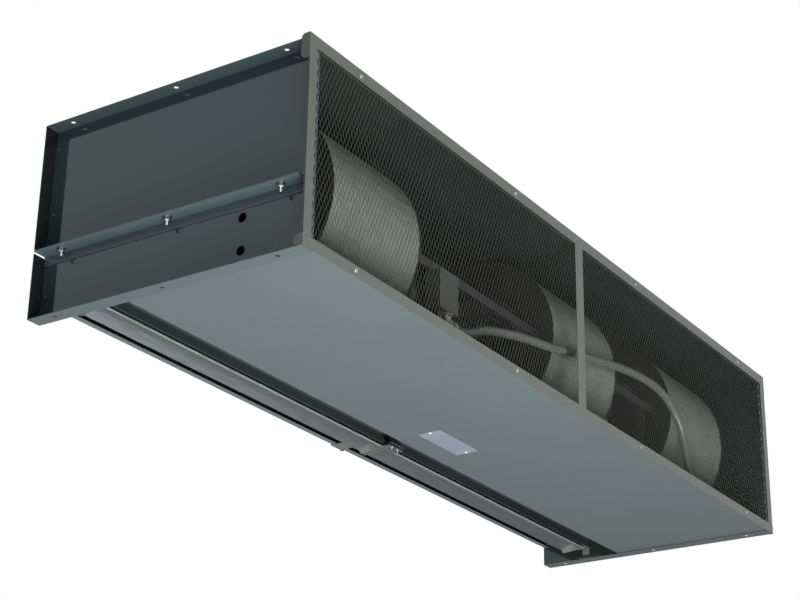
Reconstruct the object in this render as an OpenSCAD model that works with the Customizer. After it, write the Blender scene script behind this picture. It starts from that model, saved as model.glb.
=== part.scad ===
// Industrial air curtain: sheet-steel cabinet, expanded-metal intake grille on the front,
// three double-inlet blowers on two motors, and a slot nozzle with two hinged vanes.
// Millimetres. X runs along the cabinet, +Y from the grille to the wall, +Z up.
// The origin is under the middle of the whole outline, in the plane of the bottom panel.

/* [Cabinet] */
// Length between the outer faces of the two end webs
cab_l = 2286; // [2200:1:2800]
// Depth from the front flanges to the rear panel
cab_d = 750; // [735:1:900]
// Height of the end panels
cab_h = 486; // [486:1:600]
// Thickness of the cabinet's sheet steel
sheet_t = 1.6; // [1.2:0.1:2]
// Width of the end panels' outward flanges
flange_w = 38; // [32:1:50]
// Height of the front flanges that carry the grille frame
front_lip = 24; // [20:1:26]
// Outer radius of the bends in the sheet
bend_r = 3; // [2.5:0.1:4]
// Height of the bottom panel over the end panels' lower flanges
floor_z = 2; // [1.8:0.1:2.4]
// Height of the rear panel's lower edge over the bottom panel
rear_gap = 55; // [50:1:70]
// Width of the rear panel's forward return
rear_return = 18; // [12:1:30]

/* [Fixing holes] */
// Radius of the fixing holes in the end flanges
fix_hole_r = 5.5; // [4:0.1:7]
// Distance between neighbouring fixing holes
fix_pitch = 305; // [250:1:320]
// Distance from the front to the first fixing hole
fix_first = 74; // [60:1:90]
// Radius of the cable entry holes in the left web
entry_r = 11.1; // [8:0.1:14]

/* [Mounting angles] */
// Height of the mounting angle's upright leg
angle_drop = 26; // [22:1:36]
// Thickness of the mounting angle
angle_t = 3; // [2:0.1:5]
// Height of the mounting angle's top face
angle_top = 169; // [160:1:200]
// Radius of the mounting bolts' shanks
bolt_r = 4.76; // [3:0.01:5]
// Length of the bolts below the angle
bolt_drop = 21; // [18:1:40]

/* [Grille] */
// Width of the top rail
top_rail_w = 28; // [24:1:40]
// Height of the top rail's upper edge over the end panels
top_rail_rise = 10; // [4:1:16]
// Width of the bottom rail and of the stiles
rail_w = 27; // [25:1:32]
// Width of the mullion
mullion_w = 39; // [30:1:50]
// Thickness of the frame's sheet
frame_t = 1.5; // [1:0.1:2]
// Depth of the rails' tabs along the end panels
tab_d = 20; // [12:1:30]
// Height of the top rail's tabs
top_tab_h = 60; // [40:1:80]
// Thickness of the expanded metal
mesh_t = 1.2; // [0.8:0.1:1.6]
// Width of a mesh opening, drawn wider than the real 12.7
mesh_pitch_x = 50; // [40:1:80]
// Height of a mesh opening, drawn taller than the real 30
mesh_pitch_z = 76; // [60:1:110]
// Width of a strand of the mesh
strand_w = 3; // [2:0.1:5]

/* [Blowers] */
// Radius of a blower wheel
wheel_r = 160; // [140:1:160]
// Length of a blower wheel
wheel_w = 300; // [260:1:310]
// Number of blades of a wheel
blades = 36; // [24:1:40]
// Width of a blower housing
blower_w = 346; // [340:1:380]
// Radius of the scroll at its front
scroll_front_r = 236; // [232:0.5:236]
// Growth of the scroll's radius per radian
scroll_growth = 16; // [14:0.1:16]
// Height of the side plates' rim over the wrap
scroll_rim = 3.5; // [2:0.5:4]
// Gap between the blowers and the front of the cabinet
blower_front_gap = 61.5; // [60:0.5:80]
// Gap between the blowers and the bottom panel
blower_floor_gap = 0.6; // [0.4:0.1:1.6]
// Gap between the outer blowers and the end webs
blower_end_gap = 150; // [120:1:170]
// Gap between the middle and the right blower, for the second motor
right_motor_gap = 329; // [300:1:360]
// Radius of the inlet throats
throat_r = 128; // [110:1:130]

/* [Motors] */
// Radius of a motor's body
motor_r = 82; // [70:1:90]
// Length of a motor
motor_l = 260; // [240:1:280]
// Radius of the motor shafts
shaft_r = 9.5; // [7:0.1:12]
// Radial clearance of the shafts in the motors
shaft_clearance = 0.05; // [0.02:0.01:0.1]
// Outer radius of the rubber rings that carry a motor
ring_r = 40; // [36:1:44]

/* [Nozzle and vanes] */
// Depth of the bottom panel
bottom_d = 494; // [490:1:500]
// Width of the nozzle's slot
slot_w = 87; // [70:1:90]
// Height of the nozzle's rear wall over the bottom panel's plane
rear_wall_z = 29; // [24:1:36]
// Length of each vane
vane_l = 1097; // [1000:1:1100]
// Depth of a vane's arch
vane_d = 70; // [60:1:80]
// Rise of a vane's arch
vane_rise = 12; // [8:0.5:16]
// Thickness of a vane
vane_t = 2; // [1.5:0.1:3]
// Distance between the two vanes
vane_gap = 16; // [14:0.5:24]
// Radius of the vanes' pivots
pivot_r = 4; // [2.5:0.1:5]
// Radial clearance of the pivots
pivot_clearance = 0.06; // [0.02:0.01:0.1]

/* [Wiring] */
// Width of the junction box
box_w = 77; // [60:1:90]
// Height of the junction box
box_h = 97; // [80:1:110]
// Depth of the junction box
box_d = 40; // [30:1:42]
// Outer radius of the conduit
conduit_r = 11; // [8:0.5:12]

/* [Hidden] */
$fn = 48;
eps = 0.01;

// Cabinet: y values are measured from the front of the whole outline
screw_head_t = 2;
hole_play = 0.1;
seat_play = 0.02;
front_proud = mesh_t + frame_t + screw_head_t;
front_y = (front_proud - cab_d) / 2;
rear_y = front_y + cab_d;
cab_x = cab_l / 2;
in_x = cab_x - sheet_t;
end_lip = 20;
rear_lip = 25;
fix_x = cab_x + flange_w / 2;
fix_ys = [for (i = [0:2]) front_y + fix_first + i * fix_pitch];
entry_y = front_y + 187;
entry_zs = [47, 124];
notch_under = 5;

// Blowers and nozzle
function scroll_r(a) = scroll_front_r + scroll_growth * a * PI / 180;
cutoff_a = -148;
blower_y = front_y + blower_front_gap + scroll_front_r + scroll_rim;
blower_z = floor_z + sheet_t + blower_floor_gap + scroll_rim + scroll_r(-90);
blower_rear_y = blower_y + scroll_r(180);
deck_top = blower_z + scroll_r(cutoff_a) * sin(cutoff_a);
deck_z = deck_top - sheet_t;
deck_front_y = blower_y - (scroll_r(cutoff_a) + scroll_rim) * cos(cutoff_a) + 1;
deck_overlap = 22;
deck_lip = 6;
right_blower_x = cab_x - blower_end_gap - blower_w / 2;
left_blower_x = -right_blower_x;
middle_blower_x = right_blower_x - blower_w - right_motor_gap;
slot_y = front_y + bottom_d;
rear_wall_y = slot_y + slot_w;
wall_lean = [11, 29];

// Motors
long_motor_x = (left_blower_x + middle_blower_x) / 2;
short_motor_x = (middle_blower_x + right_blower_x) / 2;
motor_bore_r = shaft_r + shaft_clearance;
boss_l = 24;
boss_r = 31;
ring_w = 18;
ring_x = motor_l / 2 - boss_l / 2;
hub_l = 60;
hub_r = 26;
hub_play = 0.02;
cradle_w = 130;
cradle_t = 3;
terminal_x = 34;
terminal_w = 62;
terminal_h = 52;
terminal_d = 26;
terminal_y = blower_y - motor_r - terminal_d;

// Vanes: the pivots lie behind the lower edge of the nozzle's rear wall
pivot_y = rear_wall_y + 15;
pivot_z = rear_wall_z + 1;
vane_lip = 8;
cap_t = 2;
cap_nose_r = 7;
pin_l = 9;
vane_x = vane_gap / 2 + vane_l / 2;
vane_end_x = vane_gap / 2 + vane_l;
bracket_t = 3;
bracket_gap = 0.5;
bracket_drop = 8;
bracket_rise = 13;
bracket_web = 18;
bracket_front = 7;
bracket_back = 15;
boss_w = vane_gap - 2 * (cap_t + bracket_gap);
centre_pin_l = boss_w / 2 + bracket_gap - 1;

// Lock under the middle of the nozzle's rear wall
tab_t = 3;
clip_t = 3;
clip_top = pivot_z - cap_nose_r - 0.3;
lock_bolt_r = 3;
lock_y = rear_wall_y - 12.5;
knob_x = 2;
knob_r = 10.5;
wing_x = 28;

// Wiring
rail_leg = 25;
tie_rail_y = front_y + 100;
tie_rail_z = 228;
box_x = -530;
box_y = tie_rail_y - box_d;
box_z = 106;
box_t = 1.5;
fitting_h = 14;

// ---- Shared geometry ----

function unit(v) = v / norm(v);
function right_of(v) = [v.y, -v.x];

// Arc that rounds the corner q of the path p-q-s with radius r, or less beside a short wall
function corner(p, q, s, r, n = 4) =
    let (a = unit(p - q), b = unit(s - q), half = acos(a * b) / 2,
         k = min(r, 0.8 * min(norm(p - q), norm(s - q)) * tan(half)),
         c = q + unit(a + b) * k / sin(half),
         from = q + a * k / tan(half) - c, to = q + b * k / tan(half) - c,
         start = atan2(from.y, from.x), raw = atan2(to.y, to.x) - start,
         turn = raw > 180 ? raw - 360 : raw < -180 ? raw + 360 : raw)
    [for (i = [0:n]) c + k * [cos(start + turn * i / n), sin(start + turn * i / n)]];

// Path with every inner corner rounded
function bent(path, r) = [
    path[0],
    for (i = [1:len(path) - 2]) each corner(path[i - 1], path[i], path[i + 1], r),
    path[len(path) - 1]
];

// Point i of a path, moved t to the right of its direction
function beside(path, i, t) =
    let (last = len(path) - 1,
         a = right_of(unit(i == 0 ? path[1] - path[0] : path[i] - path[i - 1])),
         b = right_of(unit(i == last ? path[last] - path[last - 1] : path[i + 1] - path[i])),
         m = unit(a + b))
    path[i] + m * t / (m * a);

// Outline of a strip of thickness t on the right of a path
function strip(path, t) =
    concat(path, [for (i = [len(path) - 1:-1:0]) beside(path, i, t)]);

// Extrusion of a (y, z) outline along X, centred on x
module along_x(x, l) translate([x, 0, 0]) rotate([90, 0, 90]) linear_extrude(l, center = true)
    children();

// Extrusion of an (x, z) outline along Y, from y onwards
module along_y(y, l) translate([0, y + l, 0]) rotate([90, 0, 0]) linear_extrude(l) children();

// Sheet folded along X from a (y, z) path of its outer face
module folded(path, x, l, t = sheet_t, r = bend_r)
    along_x(x, l) polygon(strip(len(path) > 2 ? bent(path, r) : path, t));

// Cylinder along X, from x onwards
module rod_x(x, y, z, r, l) translate([x, y, z]) rotate([0, 90, 0]) cylinder(h = l, r = r);

// Cylinder along Y, from y onwards
module rod_y(x, y, z, r, l) translate([x, y, z]) rotate([-90, 0, 0]) cylinder(h = l, r = r);

// Box from one corner to the opposite one
module block(low, high) translate(low) cube(high - low);

// Point on a smooth curve through the route, at parameter u
function route_point(route, u) =
    let (last = len(route) - 1, i = min(floor(u), last - 1), f = u - i,
         p0 = route[max(i - 1, 0)], p1 = route[i], p2 = route[i + 1],
         p3 = route[min(i + 2, last)])
    0.5 * ((2 * p1) + (p2 - p0) * f + (2 * p0 - 5 * p1 + 4 * p2 - p3) * f * f
           + (3 * p1 - p0 - 3 * p2 + p3) * f * f * f);

// Ring of n points of radius r round the route at parameter u
function route_ring(route, u, r, n) =
    let (h = 0.02, last = len(route) - 1,
         d = u < h ? unit(route[1] - route[0])
             : u > last - h ? unit(route[last] - route[last - 1])
             : unit(route_point(route, u + h) - route_point(route, u - h)),
         side = unit(cross(d, abs(d.y) > 0.9 ? [1, 0, 0] : [0, 1, 0])), up = cross(side, d))
    [for (k = [0:n - 1]) route_point(route, u)
        + r * (cos(360 * k / n) * side + sin(360 * k / n) * up)];

// Closed tube through rings of n points each
module rings_tube(rings, n) {
    last = len(rings) - 1;
    polyhedron(
        points = [for (ring = rings) each ring],
        faces = [
            for (k = [1:n - 2]) [0, k, k + 1],
            for (k = [1:n - 2]) [last * n, last * n + k + 1, last * n + k],
            for (i = [0:last - 1], k = [0:n - 1]) each [
                [i * n + k, (i + 1) * n + k, i * n + (k + 1) % n],
                [i * n + (k + 1) % n, (i + 1) * n + k, (i + 1) * n + (k + 1) % n]
            ]
        ]);
}

// Plain cord of radius r along a route
module cord(route, r, steps, n = 8)
    rings_tube([for (i = [0:steps]) route_ring(route, i * (len(route) - 1) / steps, r, n)], n);

// ---- Cabinet ----

module end_panel() difference() {
    union() {
        block([-cab_x, front_y, 0], [-in_x, rear_y, cab_h]);
        for (y = [front_y, rear_y - sheet_t])
            block([-cab_x - flange_w, y, 0], [-cab_x - seat_play, y + sheet_t, cab_h]);
        for (z = [0, cab_h - sheet_t])
            block([-cab_x - flange_w, front_y + sheet_t + seat_play, z],
                  [-cab_x - seat_play, rear_y - sheet_t - seat_play, z + sheet_t]);
    }
    for (y = fix_ys) translate([-fix_x, y, -1]) cylinder(h = cab_h + 2, r = fix_hole_r);
    block([-cab_x - flange_w - 1, rear_y - sheet_t - 1, angle_top - angle_t - notch_under],
          [-cab_x, rear_y + 1, angle_top + 2]);
}

module left_end_panel() color([0.27, 0.31, 0.33]) difference() {
    end_panel();
    for (z = entry_zs) rod_x(-cab_x - 1, entry_y, z, entry_r, sheet_t + 2);
    rivet_holes();
}

module right_end_panel() color([0.27, 0.31, 0.33]) difference() {
    mirror([1, 0, 0]) end_panel();
    mirror([1, 0, 0]) rivet_holes();
}

module top_panel() color([0.27, 0.31, 0.33]) difference() {
    union() {
        folded([[front_y, cab_h - front_lip], [front_y, cab_h], [rear_y, cab_h]], 0, 2 * in_x);
        for (s = [-1, 1]) end_flange(s, front_y + front_lip, rear_y - rear_lip - 5,
                                     cab_h - end_lip, cab_h - sheet_t / 2);
    }
    frame_screw_holes(top_screw_z);
}

// Narrow flange against an end web
module end_flange(s, y0, y1, z0, z1)
    translate([s * (in_x - sheet_t / 2) - sheet_t / 2, y0, z0]) cube([sheet_t, y1 - y0, z1 - z0]);

module rear_panel() color([0.2, 0.23, 0.24]) difference() {
    union() {
        folded([[rear_y - rear_lip, cab_h - sheet_t], [rear_y, cab_h - sheet_t],
                [rear_y, rear_gap], [rear_y - rear_return, rear_gap]], 0, 2 * in_x);
        for (s = [-1, 1]) end_flange(s, rear_y - rear_lip, rear_y - sheet_t / 2,
                                     rear_gap + 5, cab_h - rear_lip);
    }
    rivet_holes();
    mirror([1, 0, 0]) rivet_holes();
    translate([foot_bolts[1].x, foot_bolts[1].y, rear_gap - 1])
        cylinder(h = sheet_t + 2, r = foot_bolt_r + hole_play);
}

module bottom_panel() color([0.42, 0.46, 0.47]) difference() {
    union() {
        folded([[slot_y, floor_z + end_lip], [slot_y, floor_z], [front_y, floor_z],
                [front_y, front_lip]], 0, 2 * in_x);
        for (s = [-1, 1]) end_flange(s, front_y + front_lip, slot_y - 12,
                                     floor_z + sheet_t / 2, floor_z + end_lip);
    }
    frame_screw_holes(bottom_screw_z);
    for (x = plate_rivet_xs) translate([x, plate_y, floor_z - 1])
        cylinder(h = sheet_t + 2, r = plate_rivet_r + hole_play);
}

// Rivets through the rear panel's end flanges
rivet_r = 2.4;
rivet_y = rear_y - 12;
rivet_zs = [rear_gap + 13, (rear_gap + cab_h) / 2, cab_h - 45];

module rivet_holes() for (z = rivet_zs)
    rod_x(-cab_x - 1, rivet_y, z, rivet_r + hole_play, 2 * sheet_t + 2);

// Bare data plate on the bottom panel
plate_y = front_y + 391;
plate_w = 190;
plate_d = 68;
plate_t = 0.6;
plate_rivet_r = 1.6;
plate_rivet_xs = [-88, 88];

module nameplate() color([0.75, 0.76, 0.78]) difference() {
    block([-plate_w / 2, plate_y - plate_d / 2, floor_z - plate_t],
          [plate_w / 2, plate_y + plate_d / 2, floor_z]);
    for (x = plate_rivet_xs) translate([x, plate_y, floor_z - 2 * plate_t])
        cylinder(h = 3 * plate_t, r = plate_rivet_r + hole_play);
}

// Rivets of the rear panel's end flanges and of the data plate
module rivets() color([0.6, 0.62, 0.62]) {
    for (s = [-1, 1], z = rivet_zs) mirror([s > 0 ? 1 : 0, 0, 0]) union() {
        rod_x(-cab_x, rivet_y, z, rivet_r, 2 * sheet_t + 1);
        rod_x(-in_x + sheet_t, rivet_y, z, 2 * rivet_r, 1.2);
    }
    for (x = plate_rivet_xs) translate([x, plate_y, floor_z - plate_t]) {
        cylinder(h = plate_t + sheet_t + 1, r = plate_rivet_r);
        translate([0, 0, -0.9]) cylinder(h = 0.9, r1 = 1.8, r2 = 2.6);
    }
}

// ---- Mounting angles ----

module mounting_angle() difference() {
    folded_y([[-cab_x - flange_w, angle_top], [-cab_x, angle_top], [-cab_x, angle_top - angle_drop]],
             front_y + 17, rear_y, angle_t);
    for (y = fix_ys) translate([-fix_x, y, angle_top - 2 * angle_t])
        cylinder(h = 3 * angle_t, r = bolt_r + 0.3);
    block([-cab_x - angle_t - 1, rear_y - sheet_t - 0.5, angle_top - angle_drop - 1],
          [-cab_x + 1, rear_y + 1, angle_top - 2 * angle_t]);
}

// Sheet folded along Y from an (x, z) path of its outer face
module folded_y(path, y0, y1, t)
    along_y(y0, y1 - y0) polygon(strip(bent(path, 1.6 * abs(t)), t));

module mounting_angles() color([0.2, 0.25, 0.26]) for (s = [0, 1]) mirror([s, 0, 0]) mounting_angle();

bolt_head_h = 6;
nut_h = 8;
washer_r = 11;
washer_t = 2;

module at_bolts() for (s = [-1, 1], y = fix_ys) translate([s * fix_x, y, angle_top - angle_t])
    children();

module mounting_bolts() color([0.7, 0.7, 0.7]) at_bolts() {
    translate([0, 0, angle_t]) cylinder(h = bolt_head_h, r = 8.2, $fn = 6);
    translate([0, 0, -bolt_drop]) cylinder(h = bolt_drop + angle_t, r = bolt_r);
}

module mounting_nuts() color([0.65, 0.65, 0.65]) at_bolts() difference() {
    union() {
        translate([0, 0, -washer_t]) cylinder(h = washer_t, r = washer_r);
        translate([0, 0, -washer_t - nut_h]) cylinder(h = nut_h, r = 8.2, $fn = 6);
    }
    translate([0, 0, -washer_t - nut_h - 1])
        cylinder(h = washer_t + nut_h + 2, r = bolt_r + hole_play);
}

// ---- Grille ----

frame_back_y = front_y - mesh_t;
frame_front_y = frame_back_y - frame_t;
frame_x = cab_x + flange_w;
frame_top = cab_h + top_rail_rise;
screw_xs = [-992, -323, 323, 992];
top_screw_z = cab_h - 6;
bottom_screw_z = 15;
screw_r = 2.1;
mesh_lap = 8;
mesh_lap_x = mullion_w / 2 - 1;

module frame_screw_holes(z) for (x = screw_xs)
    rod_y(x, frame_front_y - 1, z, screw_r + hole_play, front_y - frame_front_y + sheet_t + 2);

// Rail with a tab bent back along each end panel
module rail(z0, z1, tab_z0) {
    block([-frame_x, frame_front_y, z0], [frame_x, frame_back_y, z1]);
    for (s = [-1, 1]) translate([s > 0 ? frame_x : -frame_x - frame_t, 0, 0])
        rotate([90, 0, 90]) linear_extrude(frame_t) tab_outline(tab_z0, z1);
}

// Outline of a rail's tab, with its two rear corners rounded
module tab_outline(z0, z1) polygon(concat(
    [[frame_front_y, z0]],
    corner([frame_front_y, z0], [front_y + tab_d, z0], [front_y + tab_d, z1], 10, 6),
    corner([front_y + tab_d, z0], [front_y + tab_d, z1], [frame_front_y, z1], 10, 6),
    [[frame_front_y, z1]]));

module grille_top_rail() color([0.38, 0.4, 0.39]) difference() {
    rail(frame_top - top_rail_w, frame_top, frame_top - top_tab_h);
    frame_screw_holes(top_screw_z);
}

module grille_bottom_rail() color([0.38, 0.4, 0.39]) difference() {
    rail(0, rail_w, 0);
    frame_screw_holes(bottom_screw_z);
}

module upright(x0, x1) block([x0, frame_front_y, rail_w], [x1, frame_back_y, frame_top - top_rail_w]);

module grille_stiles() color([0.38, 0.4, 0.39]) for (s = [0, 1]) mirror([s, 0, 0])
    upright(-frame_x, -frame_x + rail_w);

module grille_mullion() color([0.38, 0.4, 0.39]) upright(-mullion_w / 2, mullion_w / 2);

// Expanded metal of the left half: a lattice of diamonds, cut at the edges of the frame's window
module mesh() {
    low = [-frame_x + rail_w, rail_w];
    high = [-mullion_w / 2, frame_top - top_rail_w];
    mid = (low + high) / 2;
    cols = ceil((high.x - low.x) / mesh_pitch_x / 2);
    rows = ceil((high.y - low.y) / mesh_pitch_z / 2);
    along_y(frame_back_y, mesh_t) difference() {
        translate(low - [mesh_lap_x, mesh_lap]) square(high - low + 2 * [mesh_lap_x, mesh_lap]);
        intersection() {
            translate(low) square(high - low);
            for (i = [-cols:cols], j = [-rows:rows], s = [0, 0.5])
                translate(mid + [(i + s) * mesh_pitch_x, (j + s) * mesh_pitch_z]) diamond();
        }
    }
}

module diamond() {
    dx = mesh_pitch_x / 2 - strand_w;
    dz = mesh_pitch_z / 2 - strand_w * mesh_pitch_z / mesh_pitch_x;
    polygon([[-dx, 0], [0, -dz], [dx, 0], [0, dz]]);
}

module left_grille_mesh() color([0.2, 0.21, 0.2]) mesh();

module right_grille_mesh() color([0.2, 0.21, 0.2]) mirror([1, 0, 0]) mesh();

module grille_screws() color([0.7, 0.7, 0.7]) for (x = screw_xs, z = [top_screw_z, bottom_screw_z]) {
    rod_y(x, frame_front_y, z, screw_r, 14);
    translate([x, frame_front_y, z]) rotate([90, 0, 0]) cylinder(h = screw_head_t, r1 = 5.5, r2 = 3.5);
}

// ---- Nozzle ----

wall_foot_y = slot_y - 2 * sheet_t - seat_play;

module nozzle_front_wall() color([0.13, 0.14, 0.14])
    folded([[wall_foot_y, floor_z + 3], [wall_foot_y, floor_z + end_lip + 2],
            [deck_front_y, deck_z], [deck_front_y + deck_lip, deck_z]], 0, 2 * in_x);

// The rear wall leans over the vanes
module nozzle_rear_wall() color([0.13, 0.14, 0.14])
    folded([[blower_rear_y + deck_overlap, deck_z], [blower_rear_y, deck_z],
            [rear_wall_y, rear_wall_z] + wall_lean, [rear_wall_y, rear_wall_z]],
           0, 2 * in_x, -sheet_t);

// Angle welded to the rear wall's face, which carries the lock
module lock_tab() color([0.13, 0.14, 0.14]) difference() {
    along_x((knob_x - 18 + wing_x + 14) / 2, wing_x - knob_x + 32) polygon(strip(bent([
        [rear_wall_y, rear_wall_z] + wall_lean / 2,
        [rear_wall_y - wall_lean.x / wall_lean.y, rear_wall_z - 1],
        [lock_y - 12, rear_wall_z - 1]], 1.6 * tab_t), tab_t));
    for (x = [knob_x, wing_x]) translate([x, lock_y, rear_wall_z - 5])
        cylinder(h = 10, r = lock_bolt_r + hole_play);
}

module blower_deck() color([0.15, 0.16, 0.16]) difference() {
    block([-in_x, deck_front_y, deck_z], [in_x, blower_rear_y + deck_overlap, deck_top]);
    for (x = [left_blower_x, middle_blower_x, right_blower_x])
        block([x - blower_w / 2 + 8, deck_front_y + deck_lip, deck_z - 1],
              [x + blower_w / 2 - 8, blower_rear_y - 5, deck_top + 1]);
}

// ---- Blowers ----

scroll_steps = 40;

// Point of the scroll at angle a from the front, d outside the wrap's outer face
function scroll_point(a, d) =
    [blower_y, blower_z] + (scroll_r(a) + d) * [-cos(a), sin(a)];
scroll_angles = [for (i = [0:scroll_steps]) cutoff_a + (180 - cutoff_a) * i / scroll_steps];

function scroll_path(d) = concat([for (a = scroll_angles) scroll_point(a, d)],
                                 [[blower_rear_y + d, deck_top]]);

module blower_wrap(x) along_x(x, blower_w - 2 * sheet_t)
    polygon(concat(scroll_path(0), reversed(scroll_path(-sheet_t))));

function reversed(v) = [for (i = [len(v) - 1:-1:0]) v[i]];

eye_r = throat_r + 11;

module blower_sides(x) for (s = [-1, 1])
    along_x(x + s * (blower_w - sheet_t) / 2, sheet_t) difference() {
        polygon(concat(scroll_path(scroll_rim), [[deck_front_y, deck_top]]));
        translate([blower_y, blower_z]) circle(r = eye_r);
    }

// Bell-mouthed ring on each side plate
module blower_inlets(x) for (s = [-1, 1])
    translate([x + s * blower_w / 2, blower_y, blower_z]) rotate([0, s * 90, 0]) rotate_extrude()
        polygon(strip(bent([[throat_r + 30, 0], [throat_r, 0], [throat_r, -14]], 10), sheet_t));

// Blade from the wheel's inner edge to its rim, curved forward
blade_d = 25;
blade_t = 1.2;
blade_in_r = wheel_r - blade_d - 2;
function blade_path(play = 0) = [for (i = [0:4]) let (f = i / 4, a = -9 * f * f)
    (blade_in_r - play + (blade_d + 2 * play) * f) * [cos(a), sin(a)]];

ring_l = 8;
disc_t = 2;
slot_play = 0.05;

// Blades let into a slotted disc, which is swaged on the hub
module wheel(x) translate([x, blower_y, blower_z]) rotate([0, 90, 0]) {
    linear_extrude(wheel_w - 2 * ring_l, center = true) for (i = [0:blades - 1])
        rotate(360 * i / blades) polygon(strip(blade_path(), blade_t));
    linear_extrude(disc_t, center = true) difference() {
        circle(r = wheel_r - 3);
        circle(r = hub_r + seat_play);
        for (i = [0:blades - 1]) rotate(360 * i / blades) polygon(blade_slot(blade_path(slot_play)));
    }
    difference() {
        cylinder(h = hub_l, r = hub_r, center = true);
        cylinder(h = hub_l + 2, r = shaft_r + hub_play, center = true);
    }
}

// Outline of a blade's slot, with the play on both faces of the blade
function blade_slot(path) = concat(
    [for (i = [0:len(path) - 1]) beside(path, i, -slot_play)],
    [for (i = [len(path) - 1:-1:0]) beside(path, i, blade_t + slot_play)]);

// Rims that close the blades' outer ends
module wheel_rings(x) for (s = [-1, 1])
    translate([x + s * (wheel_w - ring_l) / 2, blower_y, blower_z]) rotate([0, 90, 0]) difference() {
        cylinder(h = ring_l, r = wheel_r, center = true);
        cylinder(h = ring_l + 2, r = wheel_r - 5, center = true);
    }

module left_blower_wrap() color([0.5, 0.51, 0.5]) blower_wrap(left_blower_x);
module left_blower_sides() color([0.3, 0.31, 0.31]) blower_sides(left_blower_x);
module left_blower_inlets() color([0.35, 0.36, 0.36]) blower_inlets(left_blower_x);
module left_blower_wheel() color([0.45, 0.46, 0.47]) wheel(left_blower_x);
module left_wheel_rings() color([0.45, 0.46, 0.47]) wheel_rings(left_blower_x);
module middle_blower_wrap() color([0.4, 0.41, 0.4]) blower_wrap(middle_blower_x);
module middle_blower_sides() color([0.3, 0.31, 0.31]) blower_sides(middle_blower_x);
module middle_blower_inlets() color([0.35, 0.36, 0.36]) blower_inlets(middle_blower_x);
module middle_blower_wheel() color([0.45, 0.46, 0.47]) wheel(middle_blower_x);
module middle_wheel_rings() color([0.45, 0.46, 0.47]) wheel_rings(middle_blower_x);
module right_blower_wrap() color([0.4, 0.41, 0.4]) blower_wrap(right_blower_x);
module right_blower_sides() color([0.3, 0.31, 0.31]) blower_sides(right_blower_x);
module right_blower_inlets() color([0.35, 0.36, 0.36]) blower_inlets(right_blower_x);
module right_blower_wheel() color([0.45, 0.46, 0.47]) wheel(right_blower_x);
module right_wheel_rings() color([0.45, 0.46, 0.47]) wheel_rings(right_blower_x);

// ---- Motors ----

// Half outline of a motor: bearing boss, end bell, body
function motor_half() = [
    [boss_r, motor_l / 2], [boss_r, motor_l / 2 - boss_l], [motor_r - 24, motor_l / 2 - boss_l - 2],
    [motor_r - 8, motor_l / 2 - boss_l - 12], [motor_r - 3, motor_l / 2 - boss_l - 24],
    [motor_r - 3, motor_l / 2 - boss_l - 38], [motor_r, motor_l / 2 - boss_l - 39]
];

// Motor with its terminal box on the side that end gives, -1 for the left
module motor(x, end) translate([x, blower_y, blower_z]) rotate([0, 90, 0]) difference() {
    union() {
        rotate_extrude() polygon(concat(
            [[motor_bore_r, motor_l / 2]], motor_half(),
            [for (p = reversed(motor_half())) [p.x, -p.y]], [[motor_bore_r, -motor_l / 2]]));
        block([-terminal_h / 2, -motor_r - terminal_d, end * terminal_x - terminal_w / 2],
              [terminal_h / 2, -motor_r + 10, end * terminal_x + terminal_w / 2]);
    }
    for (s = [-1, 1], a = [0:30:330]) rotate(a + 15)
        translate([motor_r - 34, -5, s * (motor_l / 2 - boss_l - 8) - 10]) cube([12, 10, 20]);
}

module long_motor() color([0.1, 0.1, 0.11]) motor(long_motor_x, -1);

module short_motor() color([0.1, 0.1, 0.11]) motor(short_motor_x, 1);

module shaft(x0, x1) rod_x(x0, blower_y, blower_z, shaft_r, x1 - x0);

module long_shaft() color([0.7, 0.7, 0.7])
    shaft(left_blower_x - hub_l / 2 - 6, middle_blower_x + hub_l / 2 + 6);

module short_shaft() color([0.7, 0.7, 0.7])
    shaft(short_motor_x - motor_l / 2 + 20, right_blower_x + hub_l / 2 + 6);

module motor_rings() color([0.05, 0.05, 0.05]) for (x = [long_motor_x, short_motor_x], s = [-1, 1])
    translate([x + s * ring_x, blower_y, blower_z]) rotate([0, 90, 0]) difference() {
        cylinder(h = ring_w, r = ring_r, center = true);
        cylinder(h = ring_w + 2, r = boss_r, center = true);
    }

// Bent cradle with a half-round seat for each rubber ring
module cradle(x) {
    post_h = blower_z;
    difference() {
        translate([x, 0, 0]) along_y(blower_y - cradle_w / 2, cradle_w) polygon(strip(bent([
            [-ring_x - cradle_t / 2, post_h], [-ring_x - cradle_t / 2, floor_z + sheet_t],
            [ring_x + cradle_t / 2, floor_z + sheet_t], [ring_x + cradle_t / 2, post_h]], 6),
            -cradle_t));
        rod_x(x - ring_x - 10, blower_y, blower_z, ring_r, 2 * ring_x + 20);
        for (s = [-1, 1]) along_x(x, 2 * ring_x + 20) polygon([
            [blower_y + s * (cradle_w / 2 + 1), 60], [blower_y + s * (cradle_w / 2 + 1), post_h + 1],
            [blower_y + s * (ring_r + 12), post_h + 1]]);
    }
}

module motor_cradles() color([0.3, 0.31, 0.31]) for (x = [long_motor_x, short_motor_x]) cradle(x);

// ---- Wiring ----

// Angle rails that tie the side plates of neighbouring blowers together
module tie_rail(x0, x1) translate([0, tie_rail_y, tie_rail_z])
    folded([[0, -rail_leg / 2], [0, rail_leg / 2], [rail_leg, rail_leg / 2]],
           (x0 + x1) / 2, x1 - x0 - blower_w, 2.5);

module tie_rails() color([0.3, 0.31, 0.3]) {
    tie_rail(left_blower_x, middle_blower_x);
    tie_rail(middle_blower_x, right_blower_x);
}

box_top = box_z + box_h;

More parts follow.
